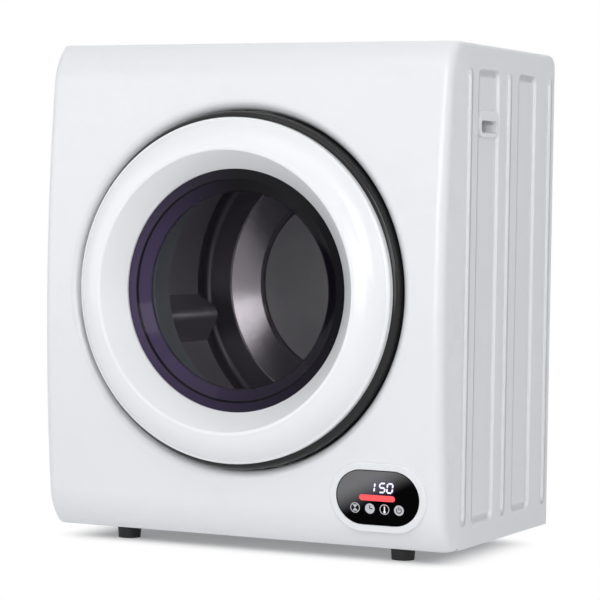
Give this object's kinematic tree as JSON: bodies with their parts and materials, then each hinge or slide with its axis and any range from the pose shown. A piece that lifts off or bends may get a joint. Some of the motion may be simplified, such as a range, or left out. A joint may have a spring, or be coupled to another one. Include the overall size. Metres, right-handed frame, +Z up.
{
  "type": "compact tumble dryer",
  "caption": "Compact vented tumble dryer with a bowed white front, round porthole door on a left hinge, touch lens and a belt-driven drum inside.",
  "frame": {"origin": "middle of the whole box on the floor, under the feet", "axes": "+Z up, +X to the right of someone facing the door, the door faces -Y"},
  "size_m": [0.5294, 0.413, 0.603],
  "materials": {
    "white_moulding": "gloss white moulding",
    "white_steel": "white powder coat",
    "galvanised": "bare coated sheet",
    "steel": "zinc-plated steel",
    "grey_moulding": "satin grey moulding",
    "black_moulding": "satin black moulding",
    "smoked_chrome": "smoked chrome plating",
    "tinted_window": "violet tinted clear moulding",
    "grey_rubber": "soft seal",
    "pale_moulding": "satin pale grey moulding",
    "felt": "pressed felt",
    "drum_steel": "brushed stainless",
    "dark_moulding": "dark grey grid",
    "bronze": "oil-filled bronze",
    "heater": "finned block",
    "motor_iron": "motor iron",
    "black_rubber": "black rubber",
    "black_gloss": "black gloss lens",
    "board": "circuit board"
  },
  "bodies": {
    "cabinet": {"front_panel": "white_moulding", "cabinet_wrap": "white_steel", "base_tray": "galvanised", "rear_panel": "galvanised", "rear_panel_screws": "steel", "rear_inlet_grille": "grey_moulding", "cord_gland": "black_moulding", "foot_screws": "steel", "door_hinge_bracket": "steel", "door_hinge_pin": "steel", "hinge_screws": "steel", "latch_catch": "grey_moulding", "door_switch": "black_moulding", "front_air_ring": "pale_moulding", "front_felt_ring": "felt", "drum_bearing": "bronze", "bearing_housing": "galvanised", "rear_support": "galvanised", "rear_air_pan": "galvanised", "rear_felt_ring": "felt", "hot_air_duct": "galvanised", "heater_element": "heater", "motor_body": "motor_iron", "motor_cradle": "galvanised", "drum_belt": "black_rubber", "idler_pin": "steel", "fan_scroll": "grey_moulding", "exhaust_elbow": "grey_moulding", "exhaust_spigot": "grey_moulding", "control_lens": "black_gloss", "control_case": "black_moulding", "control_board": "board", "side_grip_right": "white_moulding", "side_grip_left": "white_moulding", "foot_front_left": "black_rubber", "foot_front_right": "black_rubber", "foot_rear_left": "black_rubber", "foot_rear_right": "black_rubber"},
    "door": {"door_ring": "white_moulding", "door_trim_ring": "smoked_chrome", "door_window": "tinted_window", "door_liner": "grey_moulding", "door_screws": "steel", "door_seal": "grey_rubber", "door_hinge_leaf": "steel", "door_strike": "white_moulding"},
    "drum": {"drum_shell": "drum_steel", "drum_back": "drum_steel", "lint_filter_cover": "dark_moulding", "drum_shaft": "steel", "drum_paddle_1": "drum_steel", "drum_paddle_2": "drum_steel", "drum_paddle_3": "drum_steel"},
    "motor_rotor": {"motor_shaft": "steel", "motor_pulley": "steel", "fan_impeller": "black_moulding"},
    "idler_lever": {"idler_arm": "galvanised"},
    "idler_roller": {"idler_wheel": "black_moulding"},
    "switch_pin": {"door_switch_plunger": "white_moulding"}
  },
  "joints": [
    {"name": "door_hinge", "type": "hinge", "parent": "cabinet", "child": "door", "pos_m": [-0.197, -0.1765, 0.312], "axis": [0, 0, -1], "range_deg": [0, 105]},
    {"name": "drum_spin", "type": "hinge", "parent": "cabinet", "child": "drum", "pos_m": [0, 0.0215, 0.312], "axis": [0, 1, 0], "continuous": true},
    {"name": "motor_spin", "type": "hinge", "parent": "cabinet", "child": "motor_rotor", "pos_m": [0.183, 0.0515, 0.092], "axis": [0, 1, 0], "continuous": true},
    {"name": "idler_swing", "type": "hinge", "parent": "cabinet", "child": "idler_lever", "pos_m": [0.12, -0.0085, 0.05], "axis": [0, -1, 0], "range_deg": [0, 8]},
    {"name": "idler_spin", "type": "hinge", "parent": "idler_lever", "child": "idler_roller", "pos_m": [0.07358, -0.0185, 0.08134], "axis": [0, 1, 0], "continuous": true},
    {"name": "switch_press", "type": "slide", "parent": "cabinet", "child": "switch_pin", "axis": [0, 1, 0], "range_m": [0, 0.002], "stiffness_N_per_m": 250}
  ],
  "couplings": [
    {"joint": "motor_spin", "follows": "drum_spin", "ratio": 21.516},
    {"joint": "idler_spin", "follows": "drum_spin", "ratio": -11.566}
  ]
}
